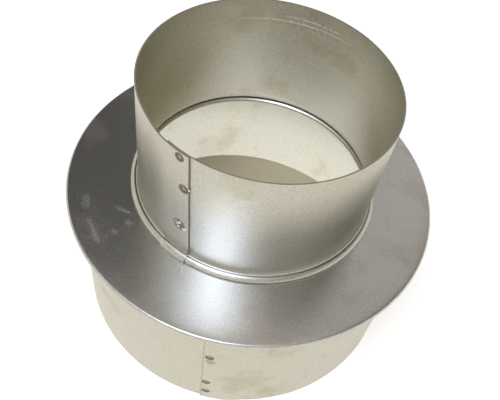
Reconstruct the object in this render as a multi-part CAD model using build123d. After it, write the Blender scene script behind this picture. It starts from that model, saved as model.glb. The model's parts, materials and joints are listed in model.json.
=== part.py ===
from build123d import *

import os
from math import cos, degrees, radians, sin

# Stove pipe extension: a small collar and a large collar of rolled sheet steel,
# joined by a flat ring plate. The axis is +Z and the foot rim stands on z = 0.

# Driving dimensions, in millimetres and degrees
small_bore_radius = 50.2      # inside of the upper collar, which takes a 100 mm pipe
large_bore_radius = 74.4      # inside of the lower collar, a 150 mm pipe
small_collar_height = 58.0    # plate top to upper rim
large_collar_height = 67.5    # foot rim to plate top
collar_sheet = 0.6
plate_sheet = 0.8

seam_overhang = 5.5           # plate edge past the large collar's outside
flange_bend = 1.0             # concave radius where the large collar turns out
hem_clearance = 0.5           # from that bend to the end of the plate's hem
fold_clearance = 0.2          # sheet edges to the folds they sit in

bead_neck_bend = 1.0          # concave radius between the small collar's wall and its bead
bead_flank = 0.75             # flat part of the bead's top
bead_gap = 1.5                # hollow inside the bead
lip_width = 4.5               # flat part of the lip turned under the plate
flats_per_quarter = 2         # a rolled bend is made of this many short flats to a right angle

small_seam_angle = -111.5     # exposed edge of each lap, counted from +X
large_seam_angle = -92.0
small_seam_turn = -1          # which way the outer layer runs on from its exposed edge
large_seam_turn = 1
small_lap_width = 10.8
large_lap_width = 12.0
joggle_width = 2.4            # where the sheet steps out over its own beginning
lap_end_gap = 0.6             # inner sheet end to the joggle
seam_shut = 2.0               # height next to bead and flange where that gap is closed up
lap_trim = 30.0               # how far round the bead's crest the outer layer reaches

weld_diameter = 3.2
weld_depth = 0.2
weld_sides = 12
# each weld's place: share of the collar's straight wall from its lower end, inset from the exposed edge
small_welds = ((0.27, 4.4), (0.68, 2.2), (0.95, 3.8))
large_welds = ((0.09, 2.9), (0.24, 2.6), (0.57, 3.2), (0.63, 2.6))

# Sizes that follow
small_middle_radius = small_bore_radius + collar_sheet / 2
large_middle_radius = large_bore_radius + collar_sheet / 2
large_outer_radius = large_bore_radius + collar_sheet
plate_radius = large_outer_radius + seam_overhang

plate_top = large_collar_height
plate_middle = plate_top - plate_sheet / 2
flange_middle = plate_top - plate_sheet - collar_sheet / 2
rim_top = plate_top + small_collar_height

neck_radius = bead_neck_bend + collar_sheet / 2
crest_radius = (bead_gap + collar_sheet) / 2
crest_middle = plate_top + collar_sheet / 2 + crest_radius
neck_start = crest_middle + crest_radius + neck_radius
neck_center = (small_middle_radius + neck_radius, neck_start)
crest_center = (small_middle_radius + neck_radius + bead_flank, crest_middle)
nose_radius = (plate_sheet + collar_sheet) / 2
nose_center = (small_middle_radius + nose_radius, plate_middle)

hem_radius = (plate_sheet + collar_sheet) / 2
hem_center = (plate_radius - plate_sheet / 2 - hem_radius, flange_middle)
hem_end = large_outer_radius + flange_bend + hem_clearance
bend_radius = flange_bend + collar_sheet / 2
bend_start = flange_middle - bend_radius
bend_center = (large_middle_radius + bend_radius, bend_start)

# the outer layer of a lap is drawn from the middle of the sheet under it, so that the two are one
layer_sheet = 1.5 * collar_sheet
layer_offset = layer_sheet / 2


def polar(radius, angle):
    return Vector(radius * cos(radians(angle)), radius * sin(radians(angle)))


def bend(center, radius, start, sweep):
    # corners of a rolled bend whose flats touch the arc
    flats = round(flats_per_quarter * abs(sweep) / 90)
    step = sweep / flats
    reach = radius / cos(radians(step / 2))
    return [Vector(center) + polar(reach, start + step * (i + 0.5)) for i in range(flats)]


def spun_sheet(corners, sheet, start=0, sweep=360):
    # sheet of one thickness along a line of corners, each given as (radius, height)
    section = Plane.XZ * trace(Polyline(corners), line_width=sheet)
    return revolve(Rot(0, 0, start) * section, axis=Axis.Z, revolution_arc=sweep)


def upright(corners, bottom, top):
    outline = make_face(Polyline(corners, close=True))
    return extrude(Pos(0, 0, bottom) * outline, amount=top - bottom, dir=(0, 0, 1))


def slope(radius, start, end):
    # joggle that drops one sheet thickness, run on by half so that it crosses the sheet's face
    head = polar(radius, start)
    foot = polar(radius - collar_sheet, end)
    return [head, foot + (foot - head) / 2]


def weld_prints(welds, outer_radius, place, bottom, top):
    # shallow flat-bottomed electrode marks on the outside of a lap
    tip = extrude(RegularPolygon(weld_diameter / 2, weld_sides), amount=2 * weld_depth)
    reach = outer_radius + collar_sheet - weld_depth
    prints = []
    for share, inset in welds:
        spot = polar(reach, place(inset)) + Vector(0, 0, bottom + share * (top - bottom))
        prints.append(Plane(origin=spot, z_dir=polar(1, place(inset))) * tip)
    return prints


def lapped(tube, layer, bore_radius, seam_angle, turn, lap_width, wall, gap, welds):
    # a rolled tube with the end of its sheet stepped out and lying over the beginning
    outer_radius = bore_radius + collar_sheet

    def place(distance):
        return seam_angle + turn * degrees(distance / outer_radius)

    lap_end = place(lap_width)
    wall_begin = place(lap_width + joggle_width)
    inner_end = place(lap_width - lap_end_gap)
    over = spun_sheet(layer, layer_sheet, min(seam_angle, lap_end), abs(lap_end - seam_angle))
    step = slope(outer_radius + collar_sheet, lap_end, wall_begin)
    ramp = upright(step + [polar(bore_radius + collar_sheet / 2, lap_end)], *wall)
    under = slope(outer_radius, lap_end, wall_begin)
    inner_edge = [polar(bore_radius - collar_sheet / 2, inner_end), polar(outer_radius, inner_end)]
    slot = upright(under + inner_edge, *gap)
    return tube + over + ramp - slot - weld_prints(welds, outer_radius, place, *wall)


def small_collar():
    line = [(small_middle_radius, rim_top)]
    line += bend(neck_center, neck_radius, 180, 90)
    line += bend(crest_center, crest_radius, 90, -180)
    line += bend(nose_center, nose_radius, 90, 180)
    line += [(nose_center[0] + lip_width, plate_middle - nose_radius)]
    # the outer layer follows the bead as far as the plate leaves room
    layer = [(small_middle_radius + layer_offset, rim_top)]
    layer += bend(neck_center, neck_radius - layer_offset, 180, 90)
    layer += bend(crest_center, crest_radius + layer_offset, 90, -90 - lap_trim)
    layer += [Vector(crest_center) + polar(crest_radius + layer_offset, -lap_trim)]
    return lapped(
        spun_sheet(line, collar_sheet),
        layer,
        small_bore_radius,
        small_seam_angle,
        small_seam_turn,
        small_lap_width,
        wall=(neck_start, rim_top),
        gap=(neck_start + seam_shut, rim_top),
        welds=small_welds,
    )


def large_collar():
    line = [(large_middle_radius, 0)]
    line += bend(bend_center, bend_radius, 180, -90)
    line += [(hem_center[0] - fold_clearance, flange_middle)]
    layer_radius = large_middle_radius + layer_offset
    return lapped(
        spun_sheet(line, collar_sheet),
        [(layer_radius, 0), (layer_radius, bend_start)],
        large_bore_radius,
        large_seam_angle,
        large_seam_turn,
        large_lap_width,
        wall=(0, bend_start),
        gap=(0, bend_start - seam_shut),
        welds=large_welds,
    )


def ring_plate():
    line = [(nose_center[0] + fold_clearance, plate_middle)]
    line += bend(hem_center, hem_radius, 90, -180)
    line += [(hem_end, flange_middle - hem_radius)]
    return spun_sheet(line, plate_sheet)


os.makedirs("parts", exist_ok=True)
export_step(small_collar(), "parts/small_collar.step")
export_step(ring_plate(), "parts/ring_plate.step")
export_step(large_collar(), "parts/large_collar.step")
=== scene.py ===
import json
from math import atan2, cos, pi, radians, sin

import bpy
from mathutils import Matrix, Vector


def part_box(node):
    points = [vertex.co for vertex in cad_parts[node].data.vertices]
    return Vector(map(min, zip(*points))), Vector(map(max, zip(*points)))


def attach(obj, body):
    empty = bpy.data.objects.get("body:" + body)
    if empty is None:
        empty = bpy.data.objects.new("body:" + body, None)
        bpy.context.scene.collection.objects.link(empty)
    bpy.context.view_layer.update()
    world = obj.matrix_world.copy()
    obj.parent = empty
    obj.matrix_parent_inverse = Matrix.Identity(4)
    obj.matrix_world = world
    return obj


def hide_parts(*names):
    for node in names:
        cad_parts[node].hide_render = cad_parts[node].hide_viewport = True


# Stove pipe extension: two rolled collars of aluminised sheet, seamed to a flat ring plate
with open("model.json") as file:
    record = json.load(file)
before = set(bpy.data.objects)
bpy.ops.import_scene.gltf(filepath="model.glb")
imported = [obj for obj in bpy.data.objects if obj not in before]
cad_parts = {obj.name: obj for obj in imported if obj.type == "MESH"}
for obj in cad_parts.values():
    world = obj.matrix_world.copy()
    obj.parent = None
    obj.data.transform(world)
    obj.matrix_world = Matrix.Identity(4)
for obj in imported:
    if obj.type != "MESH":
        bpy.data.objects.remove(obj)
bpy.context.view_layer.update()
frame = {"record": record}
mm = 0.001

# heights and radii come from the CAD frame, so the sheets sit where the solids are
bores = {mount["name"]: mount["dims"].get("r_mm") for mount in frame["record"]["mounts"]}
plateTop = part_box("ring_plate")[1].z / mm
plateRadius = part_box("ring_plate")[1].y / mm
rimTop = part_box("small_collar")[1].z / mm
print("frame loaded, plate top at", round(plateTop, 2), "mm and rim at", round(rimTop, 2), "mm")


def linearColour(hexCode):
    shares = [int(hexCode[i:i + 2], 16) / 255 for i in (1, 3, 5)]
    return [s / 12.92 if s <= 0.04045 else ((s + 0.055) / 1.055) ** 2.4 for s in shares] + [1.0]


def addNode(tree, kind, inputs={}, **settings):
    # a value that is a node or a socket is linked, anything else is set on the socket
    node = tree.nodes.new(kind)
    for name, value in settings.items():
        setattr(node, name, value)
    for key, value in inputs.items():
        named = [s for s in node.inputs if s.enabled and s.name == key]
        socket = named[0] if named else node.inputs[key]
        if isinstance(value, bpy.types.Node):
            value = next(s for s in value.outputs if s.enabled)
        if isinstance(value, bpy.types.NodeSocket):
            tree.links.new(value, socket)
        else:
            socket.default_value = value
    return node


def newTree(name, sizes):
    tree = bpy.data.node_groups.new(name, "GeometryNodeTree")
    tree.interface.new_socket("Geometry", in_out="INPUT", socket_type="NodeSocketGeometry")
    for label, kind in sizes.items():
        tree.interface.new_socket(label, in_out="INPUT", socket_type="NodeSocket" + kind)
    tree.interface.new_socket("Geometry", in_out="OUTPUT", socket_type="NodeSocketGeometry")
    return tree


def runTree(host, tree, values):
    # inputs go in by socket identifier before the object is first evaluated
    modifier = host.modifiers.new(tree.name, "NODES")
    modifier.node_group = tree
    for item in tree.interface.items_tree:
        if item.in_out == "INPUT" and item.name in values:
            modifier[item.identifier] = values[item.name]


def bake(host):
    graph = bpy.context.evaluated_depsgraph_get()
    mesh = bpy.data.meshes.new_from_object(host.evaluated_get(graph))
    host.modifiers.clear()
    host.data = mesh
    return mesh


def makePlain(host, sharpAngle=40):
    mesh = bake(host)
    mesh.set_sharp_from_angle(angle=radians(sharpAngle))
    mesh.name = host.name
    print(host.name, len(mesh.polygons), "faces")
    return host


def newHost(name, points, joined):
    # points in millimetres
    links = [(i, i + 1) for i in range(len(points) - 1)] if joined else []
    mesh = bpy.data.meshes.new(name)
    mesh.from_pydata([Vector(p) * mm for p in points], links, [])
    host = bpy.data.objects.new(name, mesh)
    bpy.context.scene.collection.objects.link(host)
    return host


def dressPiece(piece, node=None):
    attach(piece, "root")
    if node:
        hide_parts(node)


# Rolled bends of a sheet's section, as (radius, height) in millimetres
def arc(center, radius, start, end, steps):
    angles = [radians(start + (end - start) * i / steps) for i in range(steps + 1)]
    return [(center[0] + radius * cos(a), center[1] + radius * sin(a)) for a in angles]


def run(start, end, spacing=2.0):
    steps = max(1, round(((end[0] - start[0]) ** 2 + (end[1] - start[1]) ** 2) ** 0.5 / spacing))
    return [tuple(a + (b - a) * i / steps for a, b in zip(start, end)) for i in range(steps + 1)]


def follow(start, moves, bendStep=8.0):
    # down the sheet from a straight wall: bends as (radius, degrees outward), straights as (length, 0)
    (r, z), heading = start, 0.0
    line = [start]
    for size, turn in moves:
        steps = max(1, round(abs(turn) / bendStep))
        reach = 2 * size * sin(radians(abs(turn) / steps / 2)) if turn else size
        for i in range(steps):
            slant = radians(heading + turn / steps / 2)
            r, z = r + reach * sin(slant), z - reach * cos(slant)
            heading += turn / steps
            line.append((r, z))
    return line


def section(*parts):
    line = []
    for part in parts:
        for r, z in part:
            if not line or (line[-1][0] - r) ** 2 + (line[-1][2] - z) ** 2 > 1e-4:
                line.append((r, 0, z))
    return line


# What both finishes share: bands are the noise levels between which something goes from none to full
coatLook = {
    "grainBand": (0.33, 0.67),
    "streakShare": 0.12,     # of the rolling streaks in the grain, the rest is spangle
    "stainBand": (0.53, 0.68),
    "breakBand": (0.36, 0.52),
    "markRoughness": 0.3,
    "markDepth": 6.0,        # times the grain's own depth
    "scratchTone": "#fdfbf6",
}
# Hot-dip aluminised steel, rolled: a warm grey metal coat with a fine frosted spangle, so reflections
# are soft, with cloudy handling stains and heat-tinted rings at the spot welds, painted shade in the crease
# at the bead and painted shadow along the lap's edge
collarFinish = {
    "coat": "#dad8ca",
    "coatDull": "#c4c1b3",
    "stain": "#b4ab8c",
    "stainShare": 0.42,
    "roughness": (0.29, 0.38),
    "stainRoughness": 0.05,
    "spangle": 0.8,          # mm, drawn coarser than the real 0.3 mm so that it shows
    "cloud": 28.0,           # mm
    "streak": (60.0, 2.2),   # mm along and across the rolling direction
    "acrossAxis": 2,         # collars are rolled round the axis, so streaks are level rings
    "bumpDepth": 0.008,
    # heat tint round the spot welds, and also the colour of the painted shadow along the lap's edge
    "heatTintAndLapShadow": "#5b5238",
    # share of heat tint from a weld's middle out to the edge of its print
    "weldRing": ((0.0, 0.45), (0.4, 0.6), (0.66, 0.95), (0.98, 0.6), (1.0, 0.0)),
    # painted shadow in the gap along the lap's exposed edge
    "lapShadowTurn": (0.005, 0.009),   # radians from a lap's exposed edge
    "lapShadowShare": 0.3,
    # painted shade: a dark blue-grey line in the crease above the bead
    "creaseShade": "#3c3f4c",
    "creaseShadeShare": 0.6,
    # pale rub marks inside the upper rim: start and end as (degrees, height), width in mm
    "rubMarks": (((55.0, 117.4), (118.0, 115.7), 0.9), ((57.0, 119.4), (97.0, 118.8), 0.8)),
    "rubFade": 12.0,         # mm at either end
    "insideSlack": 0.2,      # mm past the bore that still counts as inside
    "scratches": (),
}
# Hot-dip aluminised steel, pressed: the same coat on flat stock, cooler and a little smoother,
# so the lamp shows in it as a soft streak
plateFinish = {
    "coat": "#dad9d6",
    "coatDull": "#bfbdb9",
    "stain": "#c0ad9f",
    "stainShare": 0.35,
    "roughness": (0.28, 0.33),
    "stainRoughness": 0.05,
    "spangle": 0.75,         # mm, coarser than real here too
    "cloud": 21.0,
    "streak": (30.0, 1.8),
    "acrossAxis": 1,
    "bumpDepth": 0.008,
    "heatTintAndLapShadow": None,
    "rubMarks": (),
    # scratches beside the small collar's seam, then pale smears on the left:
    # start and end as (x, y), width in mm, strength
    "scratches": (
        ((-19.3, -50.6), (-20.9, -56.4), 0.22, 1.0), ((-18.9, -51.2), (-17.2, -57.0), 0.55, 1.0),
        ((-53.2, -32.2), (-44.6, -33.8), 2.6, 0.26), ((-66.4, -28.6), (-63.0, -37.0), 4.2, 0.2),
        ((-61.2, -40.4), (-52.4, -51.6), 2.4, 0.22), ((-50.8, -43.6), (-46.6, -45.4), 3.0, 0.24),
        ((-47.2, -37.5), (-42.6, -39.4), 4.0, 0.24)),
    "scratchFade": 2.0,      # mm at either end
}


def lineMask(tree, place, start, end, width, fade):
    # 1 along a straight line on a flat coordinate, faded at its ends
    ahead = Vector(end) - Vector(start)
    lay = addNode(tree, "ShaderNodeMapping", {
        "Vector": place, "Location": (start[0], start[1], 0.0),
        "Rotation": (0.0, 0.0, atan2(ahead.y, ahead.x))}, vector_type="TEXTURE")
    spot = addNode(tree, "ShaderNodeSeparateXYZ", {0: lay}).outputs
    aside = addNode(tree, "ShaderNodeMath", {0: spot["Y"]}, operation="ABSOLUTE")
    thin = addNode(tree, "ShaderNodeMapRange", {
        "Value": aside, "From Min": width / 2, "From Max": width / 6})
    begin = addNode(tree, "ShaderNodeMapRange", {"Value": spot["X"], "From Min": 0.0, "From Max": fade})
    finish = addNode(tree, "ShaderNodeMapRange", {
        "Value": spot["X"], "From Min": ahead.length, "From Max": ahead.length - fade})
    long = addNode(tree, "ShaderNodeMath", {0: begin, 1: finish}, operation="MULTIPLY")
    return addNode(tree, "ShaderNodeMath", {0: thin, 1: long}, operation="MULTIPLY")


def markMask(tree, place, finish, breakUp):
    # all rub marks and scratches of one finish, broken up by the spangle
    masks = []
    if finish["rubMarks"]:
        spot = addNode(tree, "ShaderNodeSeparateXYZ", {0: place}).outputs
        turn = addNode(tree, "ShaderNodeMath", {0: spot["Y"], 1: spot["X"]}, operation="ARCTAN2")
        level = addNode(tree, "ShaderNodeCombineXYZ", {"X": spot["X"], "Y": spot["Y"]})
        reach = addNode(tree, "ShaderNodeVectorMath", {0: level}, operation="LENGTH")
        bore = bores["upper_socket"] * mm
        inside = addNode(tree, "ShaderNodeMath", {
            0: reach.outputs["Value"], 1: bore + finish["insideSlack"] * mm}, operation="LESS_THAN")
        around = addNode(tree, "ShaderNodeMath", {0: turn, 1: bore}, operation="MULTIPLY")
        unrolled = addNode(tree, "ShaderNodeCombineXYZ", {"X": around, "Y": spot["Z"]})
        for (fromAngle, fromHeight), (toAngle, toHeight), width in finish["rubMarks"]:
            mark = lineMask(tree, unrolled, (radians(fromAngle) * bore, fromHeight * mm),
                            (radians(toAngle) * bore, toHeight * mm), width * mm, finish["rubFade"] * mm)
            masks.append(addNode(tree, "ShaderNodeMath", {0: mark, 1: inside}, operation="MULTIPLY"))
    for start, end, width, strength in finish["scratches"]:
        mark = lineMask(tree, place, [v * mm for v in start], [v * mm for v in end],
                        width * mm, finish["scratchFade"] * mm)
        masks.append(addNode(tree, "ShaderNodeMath", {0: mark, 1: strength}, operation="MULTIPLY"))
    whole = masks[0]
    for mask in masks[1:]:
        whole = addNode(tree, "ShaderNodeMath", {0: whole, 1: mask}, operation="MAXIMUM")
    low, high = coatLook["breakBand"]
    broken = addNode(tree, "ShaderNodeMapRange", {"Value": breakUp, "From Min": low, "From Max": high})
    return addNode(tree, "ShaderNodeMath", {0: whole, 1: broken}, operation="MULTIPLY")


def aluminisedSheet(name, finish):
    material = bpy.data.materials.new(name)
    material.use_nodes = True
    tree = material.node_tree
    shader = tree.nodes["Principled BSDF"]
    shader.inputs["Metallic"].default_value = 1.0
    place = addNode(tree, "ShaderNodeTexCoord").outputs["Object"]
    spangle = addNode(tree, "ShaderNodeTexNoise", {
        "Vector": place, "Scale": 1 / (finish["spangle"] * mm), "Detail": 2.0, "Roughness": 0.6}).outputs[0]
    cloud = addNode(tree, "ShaderNodeTexNoise", {
        "Vector": place, "Scale": 1 / (finish["cloud"] * mm), "Detail": 5.0, "Roughness": 0.62}).outputs[0]
    along, across = finish["streak"]
    stretch = [1 / (along * mm)] * 3
    stretch[finish["acrossAxis"]] = 1 / (across * mm)
    lay = addNode(tree, "ShaderNodeMapping", {"Vector": place, "Scale": stretch})
    streak = addNode(tree, "ShaderNodeTexNoise", {"Vector": lay, "Scale": 1.0, "Detail": 3.0}).outputs[0]
    # frosted coat, a little duller where streaks and spangle meet
    grain = addNode(tree, "ShaderNodeMix", {"Factor": coatLook["streakShare"], "A": spangle, "B": streak})
    low, high = coatLook["grainBand"]
    grainShare = addNode(tree, "ShaderNodeMapRange", {"Value": grain, "From Min": low, "From Max": high})
    coat = addNode(tree, "ShaderNodeMix", {
        "Factor": grainShare, "A": linearColour(finish["coatDull"]), "B": linearColour(finish["coat"])},
        data_type="RGBA")
    begin, end = coatLook["stainBand"]
    stained = addNode(tree, "ShaderNodeMapRange", {
        "Value": cloud, "From Min": begin, "From Max": end}, interpolation_type="SMOOTHSTEP")
    stainShare = addNode(tree, "ShaderNodeMath", {0: stained, 1: finish["stainShare"]}, operation="MULTIPLY")
    tone = addNode(tree, "ShaderNodeMix", {
        "Factor": stainShare, "A": coat, "B": linearColour(finish["stain"])}, data_type="RGBA")
    if finish["heatTintAndLapShadow"]:
        # dark ring round each weld print, paler in the middle
        weld = addNode(tree, "ShaderNodeAttribute", attribute_name="weldReach")
        ring = addNode(tree, "ShaderNodeValToRGB", {"Fac": weld.outputs["Fac"]})
        stops = ring.color_ramp.elements
        for i, (at, share) in enumerate(finish["weldRing"]):
            stop = stops[i] if i < 2 else stops.new(at)
            stop.position = at
            stop.color = (share, share, share, 1.0)
        tint = addNode(tree, "ShaderNodeAttribute", attribute_name="weldTint")
        burnt = addNode(tree, "ShaderNodeMath", {0: ring, 1: tint.outputs["Fac"]}, operation="MULTIPLY")
        tone = addNode(tree, "ShaderNodeMix", {
            "Factor": burnt, "A": tone, "B": linearColour(finish["heatTintAndLapShadow"])}, data_type="RGBA")
        # painted shadow in the lap, along its exposed edge, in the heat tint's colour
        edge = addNode(tree, "ShaderNodeAttribute", attribute_name="edgeTurn")
        begin, end = finish["lapShadowTurn"]
        lapShadowed = addNode(tree, "ShaderNodeMapRange", {
            "Value": edge.outputs["Fac"], "From Min": begin, "From Max": end,
            "To Min": finish["lapShadowShare"], "To Max": 0.0})
        tone = addNode(tree, "ShaderNodeMix", {
            "Factor": lapShadowed, "A": tone, "B": linearColour(finish["heatTintAndLapShadow"])}, data_type="RGBA")
        # painted shade in the crease above the bead
        crease = addNode(tree, "ShaderNodeAttribute", attribute_name="crease")
        creaseShaded = addNode(tree, "ShaderNodeMath", {0: crease.outputs["Fac"], 1: finish["creaseShadeShare"]},
                        operation="MULTIPLY")
        tone = addNode(tree, "ShaderNodeMix", {
            "Factor": creaseShaded, "A": tone, "B": linearColour(finish["creaseShade"])}, data_type="RGBA")
    marks = markMask(tree, place, finish, spangle)
    marked = addNode(tree, "ShaderNodeMix", {
        "Factor": marks, "A": tone, "B": linearColour(coatLook["scratchTone"])}, data_type="RGBA")
    tree.links.new(marked.outputs[2], shader.inputs["Base Color"])
    smooth, dull = finish["roughness"]
    frost = addNode(tree, "ShaderNodeMapRange", {
        "Value": grain, "From Min": low, "From Max": high, "To Min": smooth, "To Max": dull})
    soiled = addNode(tree, "ShaderNodeMath", {0: stained, 1: finish["stainRoughness"], 2: frost},
                     operation="MULTIPLY_ADD")
    rubbed = addNode(tree, "ShaderNodeMath", {0: marks, 1: coatLook["markRoughness"], 2: soiled},
                     operation="MULTIPLY_ADD")
    tree.links.new(rubbed.outputs[0], shader.inputs["Roughness"])
    dug = addNode(tree, "ShaderNodeMath", {0: marks, 1: coatLook["markDepth"]}, operation="MULTIPLY")
    height = addNode(tree, "ShaderNodeMath", {0: grain, 1: dug}, operation="SUBTRACT")
    bump = addNode(tree, "ShaderNodeBump", {"Height": height, "Distance": finish["bumpDepth"] * mm})
    tree.links.new(bump.outputs[0], shader.inputs["Normal"])
    return material


collarSteel = aluminisedSheet("aluminised steel, rolled collar sheet", collarFinish)
plateSteel = aluminisedSheet("aluminised steel, pressed plate sheet", plateFinish)
print("sheet materials made")


# A sheet of any section rolled round the axis, its end stepped out over its own beginning,
# with a print pressed into it at each spot weld
rollLook = {
    "beadRun": 3,            # rows over which the wall's long step turns into the bead's short one
    "printFloor": 0.3,       # share of a print's radius that is its flat bottom
    "creaseRows": (1.5, 4.0),     # rows from the crease where the painted shade begins to thin and is gone
    "mergeReach": 0.002,     # mm
}


def rolledSheet():
    tree = newTree("rolledSheet", {
        "Columns": "Int", "Lap Columns": "Float", "Seam Angle": "Float", "Seam Lean": "Float",
        "Lean Height": "Float", "Turn": "Float", "Sweep": "Float", "Lap Angle": "Float",
        "Joggle Angle": "Float", "Bead Joggle Angle": "Float", "Bead Row": "Int", "Step": "Float",
        "Trim Row": "Int", "Crease Row": "Int", "Foot Skew": "Float", "Skew Height": "Float",
        "Welds": "Object", "Weld Radius": "Float", "Weld Depth": "Float", "Dent Depth": "Float",
        "Dent Scale": "Float", "Seed": "Float", "Sheet": "Material"})
    given = addNode(tree, "NodeGroupInput").outputs
    line = addNode(tree, "GeometryNodeAttributeDomainSize", {"Geometry": given["Geometry"]}, component="MESH")
    rows = line.outputs["Point Count"]
    flat = addNode(tree, "GeometryNodeMeshGrid", {
        "Size X": 1.0, "Size Y": 1.0, "Vertices X": given["Columns"], "Vertices Y": rows})
    spot = addNode(tree, "ShaderNodeSeparateXYZ", {0: addNode(tree, "GeometryNodeInputPosition")})
    share = addNode(tree, "ShaderNodeMath", {0: spot.outputs["X"], 1: 0.5}, operation="ADD")
    lastRow = addNode(tree, "ShaderNodeMath", {0: rows, 1: 1.0}, operation="SUBTRACT")
    rowShare = addNode(tree, "ShaderNodeMapRange", {
        "Value": spot.outputs["Y"], "From Min": -0.5, "From Max": 0.5, "To Max": lastRow})
    row = addNode(tree, "FunctionNodeFloatToInt", {0: rowShare}, rounding_mode="ROUND")
    # the lap gets its own share of the columns, so that its edge and prints stay crisp
    lapEnd = addNode(tree, "ShaderNodeMath", {0: given["Lap Angle"], 1: given["Joggle Angle"]},
                     operation="ADD")
    rest = addNode(tree, "ShaderNodeMath", {0: given["Sweep"], 1: lapEnd}, operation="SUBTRACT")
    lapTurn = addNode(tree, "ShaderNodeMapRange", {
        "Value": share, "From Min": 0.0, "From Max": given["Lap Columns"], "To Max": lapEnd})
    restTurn = addNode(tree, "ShaderNodeMapRange", {
        "Value": share, "From Min": given["Lap Columns"], "From Max": 1.0, "To Max": rest})
    turned = addNode(tree, "ShaderNodeMath", {0: lapTurn, 1: restTurn}, operation="ADD")
    # the section's place and outward side at each row
    position = addNode(tree, "GeometryNodeInputPosition")
    before = addNode(tree, "FunctionNodeIntegerMath", {0: row, 1: 1}, operation="SUBTRACT")
    after = addNode(tree, "FunctionNodeIntegerMath", {0: row, 1: 1}, operation="ADD")
    here, back, ahead = [
        addNode(tree, "GeometryNodeSampleIndex",
                {"Geometry": given["Geometry"], "Value": position, "Index": index},
                data_type="FLOAT_VECTOR", clamp=True)
        for index in (row, before, after)]
    fall = addNode(tree, "ShaderNodeVectorMath", {0: ahead, 1: back}, operation="SUBTRACT")
    side = addNode(tree, "ShaderNodeVectorRotate", {"Vector": fall, "Angle": -pi / 2}, rotation_type="Y_AXIS")
    outward = addNode(tree, "ShaderNodeVectorMath", {0: side}, operation="NORMALIZE")
    # the step is long and soft on the wall, and short where the bead is rolled over it
    beadStart = addNode(tree, "FunctionNodeIntegerMath", {0: given["Bead Row"], 1: rollLook["beadRun"]},
                        operation="SUBTRACT")
    joggle = addNode(tree, "ShaderNodeMapRange", {
        "Value": row, "From Min": beadStart, "From Max": given["Bead Row"],
        "To Min": given["Joggle Angle"], "To Max": given["Bead Joggle Angle"]})
    joggleEnd = addNode(tree, "ShaderNodeMath", {0: given["Lap Angle"], 1: joggle}, operation="ADD")
    lift = addNode(tree, "ShaderNodeMapRange", {
        "Value": turned, "From Min": given["Lap Angle"], "From Max": joggleEnd,
        "To Min": given["Step"], "To Max": 0.0}, interpolation_type="SMOOTHSTEP")
    trimmed = addNode(tree, "FunctionNodeCompare", {"A": row, "B": given["Trim Row"]},
                      data_type="INT", operation="GREATER_THAN")
    stepped = addNode(tree, "GeometryNodeSwitch", {"Switch": trimmed, "False": lift, "True": 0.0},
                      input_type="FLOAT")
    raised = addNode(tree, "ShaderNodeVectorMath", {0: outward, "Scale": stepped}, operation="SCALE")
    flank = addNode(tree, "ShaderNodeVectorMath", {0: here, 1: raised}, operation="ADD")
    # the seam leans a little, as hand-fed sheet does
    height = addNode(tree, "ShaderNodeSeparateXYZ", {0: flank}).outputs["Z"]
    above = addNode(tree, "ShaderNodeMath", {0: height, 1: given["Lean Height"]}, operation="SUBTRACT")
    leaning = addNode(tree, "ShaderNodeMath", {0: above, 1: given["Seam Lean"], 2: given["Seam Angle"]},
                      operation="MULTIPLY_ADD")
    angle = addNode(tree, "ShaderNodeMath", {0: given["Turn"], 1: turned, 2: leaning},
                    operation="MULTIPLY_ADD")
    rolled, faceSide = [
        addNode(tree, "ShaderNodeVectorRotate", {"Vector": start, "Angle": angle}, rotation_type="Z_AXIS")
        for start in (flank, outward)]
    # the foot's edge creeps up round the collar, so the lap's two layers don't end level
    creep = addNode(tree, "ShaderNodeMapRange", {
        "Value": turned, "From Max": given["Sweep"], "To Max": given["Foot Skew"]})
    creepHere = addNode(tree, "ShaderNodeMapRange", {
        "Value": height, "From Min": 0.0, "From Max": given["Skew Height"], "To Min": creep, "To Max": 0.0})
    skew = addNode(tree, "ShaderNodeCombineXYZ", {"Z": creepHere})
    # electrode prints: dished spots, their distance kept for the heat tint
    tips = addNode(tree, "GeometryNodeObjectInfo", {"Object": given["Welds"]}).outputs["Geometry"]
    nearest = addNode(tree, "GeometryNodeSampleNearest", {
        "Geometry": tips, "Sample Position": rolled}, domain="POINT")
    size, tint = [
        addNode(tree, "GeometryNodeInputNamedAttribute", {"Name": label}, data_type="FLOAT")
        for label in ("printSize", "printTint")]
    nearSize, nearTint = [
        addNode(tree, "GeometryNodeSampleIndex",
                {"Geometry": tips, "Value": value.outputs["Attribute"], "Index": nearest},
                data_type="FLOAT", domain="POINT")
        for value in (size, tint)]
    printRadius = addNode(tree, "ShaderNodeMath", {0: given["Weld Radius"], 1: nearSize},
                          operation="MULTIPLY")
    near = addNode(tree, "GeometryNodeProximity", {0: tips, "Sample Position": rolled},
                   target_element="POINTS")
    weldReach = addNode(tree, "ShaderNodeMath", {0: near.outputs["Distance"], 1: printRadius},
                        operation="DIVIDE")
    sunk = addNode(tree, "ShaderNodeMath", {0: given["Weld Depth"], 1: -1.0}, operation="MULTIPLY")
    dish = addNode(tree, "ShaderNodeMapRange", {
        "Value": weldReach, "From Min": rollLook["printFloor"], "From Max": 1.0,
        "To Min": sunk, "To Max": 0.0},
        interpolation_type="SMOOTHSTEP")
    prints = addNode(tree, "ShaderNodeVectorMath", {0: faceSide, "Scale": dish}, operation="SCALE")
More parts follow.
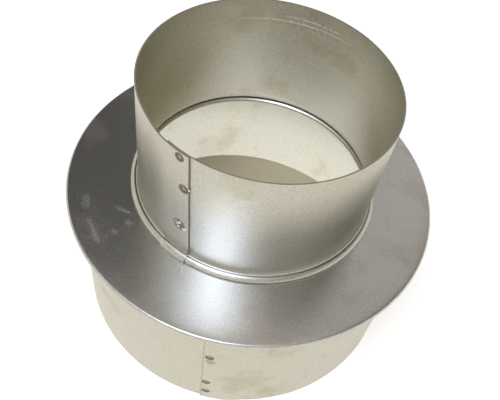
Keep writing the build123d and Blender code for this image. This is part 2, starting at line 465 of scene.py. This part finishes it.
    # sheet is never quite true: slow dents a few hundredths of a millimetre deep
    noise = addNode(tree, "ShaderNodeTexNoise", {
        "Vector": rolled, "W": given["Seed"], "Scale": given["Dent Scale"], "Detail": 1.0},
        noise_dimensions="4D")
    swing = addNode(tree, "ShaderNodeVectorMath", {0: noise.outputs["Color"], 1: (0.5, 0.5, 0.5)},
                    operation="SUBTRACT")
    dents = addNode(tree, "ShaderNodeVectorMath", {0: swing, "Scale": given["Dent Depth"]}, operation="SCALE")
    pressed = addNode(tree, "ShaderNodeVectorMath", {0: dents, 1: prints}, operation="ADD")
    offset = addNode(tree, "ShaderNodeVectorMath", {0: pressed, 1: skew}, operation="ADD")
    # the outer layer stops at the trim row, and the sheet below it carries on
    inLap = addNode(tree, "FunctionNodeCompare", {"A": turned, "B": given["Lap Angle"]},
                    data_type="FLOAT", operation="LESS_THAN")
    cutAway = addNode(tree, "FunctionNodeBooleanMath", {0: trimmed, 1: inLap}, operation="AND")
    # measures that the coat's material reads
    fromCrease = addNode(tree, "FunctionNodeIntegerMath", {0: row, 1: given["Crease Row"]},
                         operation="SUBTRACT")
    rowsAway = addNode(tree, "FunctionNodeIntegerMath", {0: fromCrease}, operation="ABSOLUTE")
    thin, gone = rollLook["creaseRows"]
    creased = addNode(tree, "ShaderNodeMapRange", {
        "Value": rowsAway, "From Min": thin, "From Max": gone, "To Min": 1.0, "To Max": 0.0})
    sheet = flat.outputs["Mesh"]
    measures = {"weldReach": weldReach, "edgeTurn": turned, "weldTint": nearTint, "crease": creased}
    for label, measure in measures.items():
        sheet = addNode(tree, "GeometryNodeStoreNamedAttribute", {
            "Geometry": sheet, "Name": label, "Value": measure}, data_type="FLOAT", domain="POINT")
    cut = addNode(tree, "GeometryNodeDeleteGeometry", {"Geometry": sheet, "Selection": cutAway})
    shaped = addNode(tree, "GeometryNodeSetPosition", {"Geometry": cut, "Position": rolled, "Offset": offset})
    merged = addNode(tree, "GeometryNodeMergeByDistance", {
        "Geometry": shaped, "Distance": rollLook["mergeReach"] * mm})
    smooth = addNode(tree, "GeometryNodeSetShadeSmooth", {"Geometry": merged})
    real = addNode(tree, "GeometryNodeRealizeInstances", {"Geometry": smooth})
    coated = addNode(tree, "GeometryNodeSetMaterial", {"Geometry": real, "Material": given["Sheet"]})
    addNode(tree, "NodeGroupOutput", {"Geometry": coated})
    return tree


# Sheared edges of all three sheets
edgeLook = {
    "tone": "#a0988a",
    "roughness": 0.6,
    "metallic": 0.6,
    "rounding": 0.1,         # mm
    "sharpest": 60,          # degrees between faces from which an edge is rounded
}


def shearedEdge():
    # bare steel where the sheet was sheared: torn and matt, so a thin darker line at every rim
    material = bpy.data.materials.new("mild steel, sheared edge")
    material.use_nodes = True
    shader = material.node_tree.nodes["Principled BSDF"]
    shader.inputs["Metallic"].default_value = edgeLook["metallic"]
    shader.inputs["Base Color"].default_value = linearColour(edgeLook["tone"])
    shader.inputs["Roughness"].default_value = edgeLook["roughness"]
    return material


def rollPiece(name, line, values, sheet, material):
    host = newHost(name, line, joined=True)
    runTree(host, rollTree, dict(values, Sheet=material))
    # two slots for the thickness: the coated sheet and its sheared edge
    slots = bake(host).materials
    slots.clear()
    slots.append(material)
    slots.append(edgeSteel)
    thick = host.modifiers.new("sheet thickness", "SOLIDIFY")
    thick.thickness = sheet * mm
    thick.offset = 0.0
    thick.use_even_offset = True
    thick.material_offset_rim = 1
    edge = host.modifiers.new("sheared edge", "BEVEL")
    edge.width = edgeLook["rounding"] * mm
    edge.segments = 2
    edge.limit_method = "ANGLE"
    edge.angle_limit = radians(edgeLook["sharpest"])
    return makePlain(host)


def onWall(radius, angle, height):
    return radius * cos(radians(angle)), radius * sin(radians(angle)), height


def rollValues(s, line, sweep, **more):
    # what every sheet gives the tree; a sheet without a lap, bead or crease keeps these as they are
    values = {
        "Columns": s["columns"],
        "Lap Columns": s["lapColumns"],
        "Seam Angle": 0.0,
        "Seam Lean": 0.0,
        "Lean Height": 0.0,
        "Turn": 1.0,
        "Sweep": sweep,
        "Bead Row": len(line),
        "Step": 0.0,
        "Trim Row": len(line),
        "Crease Row": -len(line),
        "Foot Skew": 0.0,
        "Skew Height": 1.0,
        "Weld Radius": 1.0,
        "Weld Depth": 0.0,
        "Dent Depth": s["dentDepth"] * mm,
        "Dent Scale": 1 / (s["dentSpan"] * mm),
        "Seed": s["seed"]}
    values.update(more)
    return values


def lapValues(s, bore, line, welds):
    # a collar's lap, measured along the outside of the sheet
    reach = bore + s["sheet"]
    values = rollValues(s, line, 2 * pi + (s["lap"] - s["endGap"]) / reach)
    values.update({
        "Seam Angle": radians(s["seamAngle"]),
        "Seam Lean": s["seamLean"],
        "Lean Height": s["leanHeight"] * mm,
        "Turn": s["turn"],
        "Lap Angle": s["lap"] / reach,
        "Joggle Angle": s["joggle"] / reach,
        "Bead Joggle Angle": s["beadJoggle"] / reach,
        "Step": (s["sheet"] + s["layerGap"]) * mm,
        "Welds": welds,
        "Weld Radius": s["weldRadius"] * mm,
        "Weld Depth": s["weldDepth"] * mm})
    return values


rollTree = rolledSheet()
edgeSteel = shearedEdge()

# Small collar: straight wall, bead above the plate, nose through it and lip turned under it
smallCollar = {
    "sheet": 0.6,
    "plateSheet": 0.8,
    # flare and its straight, neck, flank, shoulder, face and turn of the bead, to the sheet's middle
    "bead": ((3.0, 16), (1.25, 0), (1.0, 78), (0.15, 0), (0.45, -34), (6.0, -14), (0.4, -140)),
    "neckMoves": 3,          # of those, down to the crease that gets the painted shade
    # back in to the nose, down through the plate and out under it
    "nose": ((1.53, 0), (0.6, 38), (0.6, 0), (0.6, 56), (0.05, 0), (0.7, 90)),
    "lip": 4.5,
    "seamAngle": -111.5,
    "seamLean": -0.74,       # radians per metre of height
    "leanHeight": 110.0,
    "turn": -1.0,
    "lap": 10.8,
    "joggle": 14.0,
    "beadJoggle": 2.4,
    "endGap": 0.6,
    "layerGap": 0.04,
    "trimHeight": 0.55,      # over the plate, where the outer layer ends on the bead
    # spot welds: degrees, height, size and heat tint of each print
    "welds": ((-116.5, 123.1, 1.0, 1.0), (-113.9, 108.3, 1.1, 1.0), (-115.4, 86.4, 1.45, 0.7)),
    "weldRadius": 2.1,
    "weldDepth": 0.4,
    "columns": 360,
    "lapColumns": 0.2,
    "dentDepth": 0.16,
    "dentSpan": 22.0,
    "seed": 3.0,
}


def wallRun(radius, top, bottom, spots, spacing=2.5, reach=2.4, fine=0.36):
    # rows down a straight wall, close together where a weld print needs them
    heights = [top]
    while heights[-1] > bottom + 1e-6:
        z = heights[-1]
        beside = any(abs(z - spot) <= reach + 1e-6 for spot in spots)
        ahead = [max(fine, z - spot - reach) for spot in spots if z > spot + reach]
        heights.append(max(bottom, z - (fine if beside else min([spacing] + ahead))))
    return [(radius, z) for z in heights]


def spotHost(name, spots, radius):
    # points on a wall, with the size and tint that follow each point's angle and height
    host = newHost(name, [onWall(radius, *spot[:2]) for spot in spots], joined=False)
    for place, label in enumerate(("printSize", "printTint")[:len(spots[0]) - 2]):
        kept = host.data.attributes.new(label, "FLOAT", "POINT")
        kept.data.foreach_set("value", [spot[2 + place] for spot in spots])
    return host


s = smallCollar
middle = bores["upper_socket"] + s["sheet"] / 2
lipHeight = plateTop - s["plateSheet"] - s["sheet"] / 2
beadTop = lipHeight - follow((0.0, 0.0), s["bead"] + s["nose"])[-1][1]
wallLine = wallRun(middle, rimTop, beadTop, [spot[1] for spot in s["welds"]])
beadLine = follow((middle, beadTop), s["bead"] + s["nose"])
lipLine = run(beadLine[-1], (beadLine[-1][0] + s["lip"], lipHeight))
smallLine = section(wallLine, beadLine, lipLine)
# rows down to the end of the bead, and to the end of its neck
beadRows, neckRows = [
    len(wallLine) + len(follow((0.0, 0.0), moves)) - 1
    for moves in (s["bead"], s["bead"][:s["neckMoves"]])]
trimPoint = plateTop + s["trimHeight"]
smallTips = spotHost("smallWelds", s["welds"], middle + s["sheet"] + s["layerGap"])
smallValues = lapValues(s, bores["upper_socket"], smallLine, smallTips)
smallValues.update({
    "Bead Row": len(wallLine),
    "Trim Row": max(i for i, p in enumerate(smallLine[:beadRows]) if p[2] >= trimPoint),
    "Crease Row": neckRows - 1})
smallPiece = rollPiece("smallCollar", smallLine, smallValues, s["sheet"], collarSteel)
bpy.data.objects.remove(smallTips)
dressPiece(smallPiece, "small_collar")

# Ring plate: flat, its outer edge folded down and back under the large collar's flange
ringPlate = {
    "sheet": 0.8,
    "bore": 51.4,
    "hemBend": 0.7,
    "hemEnd": 76.5,
    "columns": 360,
    "lapColumns": 0.01,
    "sliver": 0.005,         # share of a turn that stands in for a lap, with no step in it
    "dentDepth": 0.22,
    "dentSpan": 30.0,
    "seed": 8.0,
}
s = ringPlate
plateMiddle = plateTop - s["sheet"] / 2
hemReach = plateRadius - s["sheet"] / 2 - s["hemBend"]
plateLine = section(
    run((s["bore"], plateMiddle), (hemReach, plateMiddle)),
    arc((hemReach, plateMiddle - s["hemBend"]), s["hemBend"], 90, -90, 14),
    run((hemReach, plateMiddle - 2 * s["hemBend"]), (s["hemEnd"], plateMiddle - 2 * s["hemBend"])))
noLap = {label: 2 * pi * s["sliver"] for label in ("Lap Angle", "Joggle Angle", "Bead Joggle Angle")}
plateValues = rollValues(s, plateLine, 2 * pi, **noLap)
platePiece = rollPiece("ringPlate", plateLine, plateValues, s["sheet"], plateSteel)
dressPiece(platePiece, "ring_plate")

# Large collar: straight wall from the floor up, turned out into the flange inside the plate's fold
largeCollar = {
    "sheet": 0.6,
    "flangeBend": 1.3,
    "flangeHeight": 1.1,     # plate top down to the middle of the flange
    "flangeEnd": 79.2,
    "seamAngle": -92.0,
    "seamLean": -0.28,
    "leanHeight": 35.0,
    "turn": 1.0,
    "lap": 12.0,
    "joggle": 9.0,
    "beadJoggle": 9.0,       # no bead here, so the step stays as long
    "endGap": 0.6,
    "layerGap": 0.04,
    "footSkew": 0.45,
    "welds": (
        (-90.0, 42.2, 1.0, 1.0), (-89.5, 38.2, 1.0, 0.45), (-90.0, 16.8, 1.0, 1.0), (-89.7, 7.4, 1.0, 1.0)),
    "weldRadius": 2.05,
    "weldDepth": 0.25,
    "columns": 380,
    "lapColumns": 0.18,
    "dentDepth": 0.2,
    "dentSpan": 30.0,
    "seed": 5.0,
}
s = largeCollar
middle = bores["lower_socket"] + s["sheet"] / 2
flangeMiddle = plateTop - s["flangeHeight"]
bendStart = flangeMiddle - s["flangeBend"]
flangeLine = run((s["flangeEnd"], flangeMiddle), (middle + s["flangeBend"], flangeMiddle))
bendLine = arc((middle + s["flangeBend"], bendStart), s["flangeBend"], 90, 180, 8)
wallLine = wallRun(middle, bendStart, 0.0, [spot[1] for spot in s["welds"]])
largeLine = section(flangeLine, bendLine, wallLine)
largeTips = spotHost("largeWelds", s["welds"], middle + s["sheet"] + s["layerGap"])
largeValues = lapValues(s, bores["lower_socket"], largeLine, largeTips)
largeValues.update({"Foot Skew": s["footSkew"] * mm, "Skew Height": bendStart * mm})
largePiece = rollPiece("largeCollar", largeLine, largeValues, s["sheet"], collarSteel)
bpy.data.objects.remove(largeTips)
dressPiece(largePiece, "large_collar")
print("collars and plate rolled")

# Weld spatter: drops of bright metal squeezed out at the small collar's seam
spatter = {
    # degrees, height and size of each drop
    "places": (
        (-111.2, 109.3, 1.0), (-112.1, 85.5, 1.7), (-112.6, 84.7, 1.2), (-113.4, 85.0, 1.2),
        (-115.0, 87.6, 1.5), (-116.2, 86.6, 1.5), (-115.6, 85.2, 1.7)),
    "radius": 0.42,
    "sizeRange": (0.8, 1.25),
    "flat": 0.55,
    "standOff": 1.25,        # from the bore to the drops' middles, on the outer layer's face
    "tone": "#ece8da",
    "roughness": 0.3,
    "seed": 4,
}


def spatterDrops():
    tree = newTree("spatterDrops", {
        "Radius": "Float", "Smallest": "Float", "Largest": "Float", "Flat": "Float", "Seed": "Int",
        "Metal": "Material"})
    given = addNode(tree, "NodeGroupInput").outputs
    drop = addNode(tree, "GeometryNodeMeshIcoSphere", {"Radius": given["Radius"], "Subdivisions": 3})
    level = addNode(tree, "ShaderNodeVectorMath", {
        0: addNode(tree, "GeometryNodeInputPosition"), 1: (1.0, 1.0, 0.0)}, operation="MULTIPLY")
    facing = addNode(tree, "FunctionNodeAlignRotationToVector", {"Vector": level}, axis="Z")
    size = addNode(tree, "FunctionNodeRandomValue", {
        "Min": given["Smallest"], "Max": given["Largest"], "Seed": given["Seed"]}, data_type="FLOAT")
    squash = addNode(tree, "ShaderNodeCombineXYZ", {"X": 1.0, "Y": 1.0, "Z": given["Flat"]})
    share = addNode(tree, "GeometryNodeInputNamedAttribute", {"Name": "printSize"}, data_type="FLOAT")
    sized = addNode(tree, "ShaderNodeMath", {0: size, 1: share.outputs["Attribute"]}, operation="MULTIPLY")
    scale = addNode(tree, "ShaderNodeVectorMath", {0: squash, "Scale": sized}, operation="SCALE")
    drops = addNode(tree, "GeometryNodeInstanceOnPoints", {
        "Points": given["Geometry"], "Instance": drop.outputs["Mesh"], "Rotation": facing, "Scale": scale})
    real = addNode(tree, "GeometryNodeRealizeInstances", {"Geometry": drops})
    smooth = addNode(tree, "GeometryNodeSetShadeSmooth", {"Geometry": real})
    bright = addNode(tree, "GeometryNodeSetMaterial", {"Geometry": smooth, "Material": given["Metal"]})
    addNode(tree, "NodeGroupOutput", {"Geometry": bright})
    return tree


def spatterMetal():
    # weld spatter: melted coat set in bright drops, each with its own small highlight
    material = bpy.data.materials.new("aluminised steel, melted drops")
    material.use_nodes = True
    shader = material.node_tree.nodes["Principled BSDF"]
    shader.inputs["Metallic"].default_value = 1.0
    shader.inputs["Base Color"].default_value = linearColour(spatter["tone"])
    shader.inputs["Roughness"].default_value = spatter["roughness"]
    return material


s = spatter
spatterPiece = spotHost("weldSpatter", s["places"], bores["upper_socket"] + s["standOff"])
runTree(spatterPiece, spatterDrops(), {
    "Radius": s["radius"] * mm, "Smallest": s["sizeRange"][0], "Largest": s["sizeRange"][1],
    "Flat": s["flat"], "Seed": s["seed"], "Metal": spatterMetal()})
makePlain(spatterPiece, sharpAngle=180)
dressPiece(spatterPiece)
print("weld spatter set")

# Floor: white paper, swept up at its far edge
floorSettings = {
    # radius and height of each ring, in metres
    "rings": ((0.4, 0.0), (1.5, 0.0), (3.0, 0.0), (3.6, 0.04), (4.1, 0.16), (4.4, 0.36)),
    "segments": 96,
    "paper": "#eeece6",
    "roughness": 0.9,
    "specular": 0.1,
    "shade": "#f0deb0",      # inside the pipe: painted warm shade, standing in for bounce from the sheet round it
    "lift": 0.50,            # what the camera sees
    "shadeLift": 0.05,       # and inside the pipe
    "mirrorLift": 0.34,      # what the sheet mirrors
    "mirrorTint": "#fff3db",
    # what the sheet mirrors inside the pipe: white close by, and paler toward the front left
    "glow": 0.95,
    "glowNear": 1.0,
    "glowTint": "#f4f7ff",
    "glowSide": (-0.45, -0.90, 0.0),
    "glowRun": (-0.060, 0.010),
    "glowFade": (0.032, 0.047, 0.40),   # weaker again close to the front wall
    "nearReach": (0.05, 0.09),    # metres along the reflected ray
    "pipe": (0.0745, 0.0751),     # radius where inside ends and outside begins
}


def paperFloor():
    s = floorSettings
    points, faces = [], []
    for radius, height in s["rings"]:
        for i in range(s["segments"]):
            angle = 2 * pi * i / s["segments"]
            points.append((radius * cos(angle), radius * sin(angle), height))
    faces.append(list(range(s["segments"])))
    for ring in range(len(s["rings"]) - 1):
        for i in range(s["segments"]):
            j = (i + 1) % s["segments"]
            a, b = ring * s["segments"], (ring + 1) * s["segments"]
            faces.append((a + i, b + i, b + j, a + j))
    mesh = bpy.data.meshes.new("floor")
    mesh.from_pydata(points, [], faces)
    floor = bpy.data.objects.new("floor", mesh)
    bpy.context.scene.collection.objects.link(floor)
    # matt white paper: the lift makes it read as white while the shadow stays,
    # and inside the pipe only the sheet's reflections get it
    material = bpy.data.materials.new("paper, matt white")
    material.use_nodes = True
    tree = material.node_tree
    shader = tree.nodes["Principled BSDF"]
    shader.inputs["Roughness"].default_value = s["roughness"]
    shader.inputs["Specular IOR Level"].default_value = s["specular"]
    path = addNode(tree, "ShaderNodeLightPath").outputs
    mirrored = addNode(tree, "ShaderNodeMath", {0: path["Is Glossy Ray"], 1: path["Is Transmission Ray"]},
                       operation="MAXIMUM")
    place = addNode(tree, "ShaderNodeTexCoord").outputs["Object"]
    reach = addNode(tree, "ShaderNodeVectorMath", {0: place}, operation="LENGTH")
    inner, outer = s["pipe"]
    outside = addNode(tree, "ShaderNodeMapRange", {
        "Value": reach.outputs["Value"], "From Min": inner, "From Max": outer})
    # painted warm shade on the paper inside the pipe
    tone = addNode(tree, "ShaderNodeMix", {
        "Factor": outside, "A": linearColour(s["shade"]), "B": linearColour(s["paper"])}, data_type="RGBA")
    tree.links.new(tone.outputs[2], shader.inputs["Base Color"])
    # lift outside the pipe
    seen = addNode(tree, "ShaderNodeMath", {0: path["Is Camera Ray"], 1: s["lift"]}, operation="MULTIPLY")
    lifted = addNode(tree, "ShaderNodeMath", {0: mirrored, 1: s["mirrorLift"], 2: seen},
                     operation="MULTIPLY_ADD")
    warm = addNode(tree, "ShaderNodeMix", {
        "Factor": mirrored, "A": (1.0, 1.0, 1.0, 1.0), "B": linearColour(s["mirrorTint"])}, data_type="RGBA")
    # glow inside it, far off and close by; only the first mirroring sees the close one
    toFront = addNode(tree, "ShaderNodeVectorMath", {0: place, 1: s["glowSide"]}, operation="DOT_PRODUCT")
    begin, end = s["glowRun"]
    farGlow = addNode(tree, "ShaderNodeMapRange", {
        "Value": toFront.outputs["Value"], "From Min": begin, "From Max": end, "To Max": s["glow"]})
    begin, end, weakest = s["glowFade"]
    fading = addNode(tree, "ShaderNodeMapRange", {
        "Value": toFront.outputs["Value"], "From Min": begin, "From Max": end,
        "To Min": 1.0, "To Max": weakest})
    faded = addNode(tree, "ShaderNodeMath", {0: farGlow, 1: fading}, operation="MULTIPLY")
    begin, end = s["nearReach"]
    close = addNode(tree, "ShaderNodeMapRange", {
        "Value": path["Ray Length"], "From Min": begin, "From Max": end,
        "To Min": s["glowNear"], "To Max": 0.0})
    direct = addNode(tree, "ShaderNodeMath", {0: path["Ray Depth"], 1: 1.5}, operation="LESS_THAN")
    nearGlow = addNode(tree, "ShaderNodeMath", {0: close, 1: direct}, operation="MULTIPLY")
    glow = addNode(tree, "ShaderNodeMath", {0: faded, 1: nearGlow}, operation="MAXIMUM")
    seenInside = addNode(tree, "ShaderNodeMath", {0: path["Is Camera Ray"], 1: s["shadeLift"]},
                         operation="MULTIPLY")
    glowing = addNode(tree, "ShaderNodeMath", {0: mirrored, 1: glow, 2: seenInside},
                      operation="MULTIPLY_ADD")
    lift = addNode(tree, "ShaderNodeMix", {"Factor": outside, "A": glowing, "B": lifted})
    tint = addNode(tree, "ShaderNodeMix", {
        "Factor": outside, "A": linearColour(s["glowTint"]), "B": warm.outputs[2]}, data_type="RGBA")
    tree.links.new(tint.outputs[2], shader.inputs["Emission Color"])
    tree.links.new(lift.outputs[0], shader.inputs["Emission Strength"])
    mesh.materials.append(material)


paperFloor()

# Studio: a cool soft lamp beside the camera, a weak one on its left and a wide one on the ceiling.
# Grey walls over a white sweep, with a dark corner behind on the left, a pale one behind on the right,
# a dark patch farther right and a white card in front
studio = {
    "key": {
        "azimuth": -109.0, "elevation": 61.0, "distance": 1.2, "size": 0.54, "power": 6.0, "tint": "#d4e0ff"},
    "fill": {
        "azimuth": -160.0, "elevation": 54.0, "distance": 1.2, "size": 0.5, "power": 0.55, "tint": "#f3f6ff"},
    "ceiling": {
        "azimuth": -90.0, "elevation": 88.0, "distance": 1.6, "size": 1.4, "power": 2.2, "tint": "#fff6e6"},
    "aimHeight": 0.07,
    "walls": "#94928b",
    "sweep": ("#fdfcf8", 0.40, 0.60),   # low down, up to these heights on the unit sphere
    # direction, colour, and the cosines of the angle where each begins and is full
    "corners": (
        ((-0.376, 0.602, 0.71), "#2e2c2b", (0.86, 0.98)),
        ((0.224, 0.616, 0.755), "#d8d6d0", (0.955, 0.998)),
        ((0.60, 0.30, 0.74), "#565350", (0.88, 0.98)),
        ((-0.05, -0.92, 0.34), "#efede6", (0.90, 0.98))),
}


def addLamp(name, lamp):
    a, e = radians(lamp["azimuth"]), radians(lamp["elevation"])
    toward = Vector((cos(e) * cos(a), cos(e) * sin(a), sin(e)))
    light = bpy.data.lights.new(name, "AREA")
    light.shape = "DISK"
    light.size = lamp["size"]
    light.energy = lamp["power"]
    light.color = linearColour(lamp["tint"])[:3]
    thing = bpy.data.objects.new(name, light)
    thing.location = Vector((0, 0, studio["aimHeight"])) + toward * lamp["distance"]
    thing.rotation_mode = "QUATERNION"
    thing.rotation_quaternion = toward.to_track_quat("Z", "Y")
    bpy.context.scene.collection.objects.link(thing)


def studioWalls():
    world = bpy.data.worlds.new("studio")
    bpy.context.scene.world = world
    world.use_nodes = True
    tree = world.node_tree
    direction = addNode(tree, "ShaderNodeTexCoord").outputs["Generated"]
    sweep, low, high = studio["sweep"]
    height = addNode(tree, "ShaderNodeSeparateXYZ", {0: direction}).outputs["Z"]
    share = addNode(tree, "ShaderNodeMapRange", {"Value": height, "From Min": low, "From Max": high},
                    interpolation_type="SMOOTHSTEP")
    walls = addNode(tree, "ShaderNodeMix", {
        "Factor": share, "A": linearColour(sweep), "B": linearColour(studio["walls"])},
        data_type="RGBA").outputs[2]
    for side, tone, (wide, close) in studio["corners"]:
        toSide = addNode(tree, "ShaderNodeVectorMath", {0: direction, 1: Vector(side).normalized()},
                         operation="DOT_PRODUCT")
        share = addNode(tree, "ShaderNodeMapRange", {
            "Value": toSide.outputs["Value"], "From Min": wide, "From Max": close},
            interpolation_type="SMOOTHSTEP")
        walls = addNode(tree, "ShaderNodeMix", {"Factor": share, "A": walls, "B": linearColour(tone)},
                        data_type="RGBA").outputs[2]
    tree.links.new(walls, tree.nodes["Background"].inputs["Color"])


for name in ("key", "fill", "ceiling"):
    addLamp(name, studio[name])
studioWalls()

# Camera: looking down at the plate, slightly rolled, frame taken as 500 x 400
cameraSettings = {
    "elevation": 51.018,
    "roll": 13.377,
    "distance": 274.13,        # mm to the middle of the plate's top
    "focalLength": 614.23,     # in pixels
    "plateMiddle": (255.0, 178.71),
    "lensAxis": (275.0, 200.0),
    "frameWidth": 500,
    "sensorWidth": 36.0,       # mm
    "nearest": 0.01,           # metres
}


def placeCamera():
    s = cameraSettings
    e, r = radians(s["elevation"]), radians(s["roll"])
    back = Vector((0, -cos(e), sin(e)))
    right = Vector((1, 0, 0))
    up = back.cross(right)
    across = right * cos(r) + up * sin(r)
    upright = up * cos(r) - right * sin(r)
    lens = bpy.data.cameras.new("camera")
    lens.sensor_width = s["sensorWidth"]
    lens.lens = s["focalLength"] * s["sensorWidth"] / s["frameWidth"]
    lens.shift_x = (s["frameWidth"] / 2 - s["lensAxis"][0]) / s["frameWidth"]
    lens.clip_start = s["nearest"]
    x = (s["plateMiddle"][0] - s["lensAxis"][0]) / s["focalLength"]
    y = (s["lensAxis"][1] - s["plateMiddle"][1]) / s["focalLength"]
    sight = (across * x + upright * y - back).normalized() * s["distance"] * mm
    place = Vector((0, 0, plateTop * mm)) - sight
    camera = bpy.data.objects.new("camera", lens)
    camera.matrix_world = Matrix.Translation(place) @ Matrix((across, upright, back)).transposed().to_4x4()
    bpy.context.scene.collection.objects.link(camera)
    bpy.context.scene.camera = camera


placeCamera()
bpy.context.scene.view_settings.view_transform = "Standard"
print("floor, lamps and camera placed")
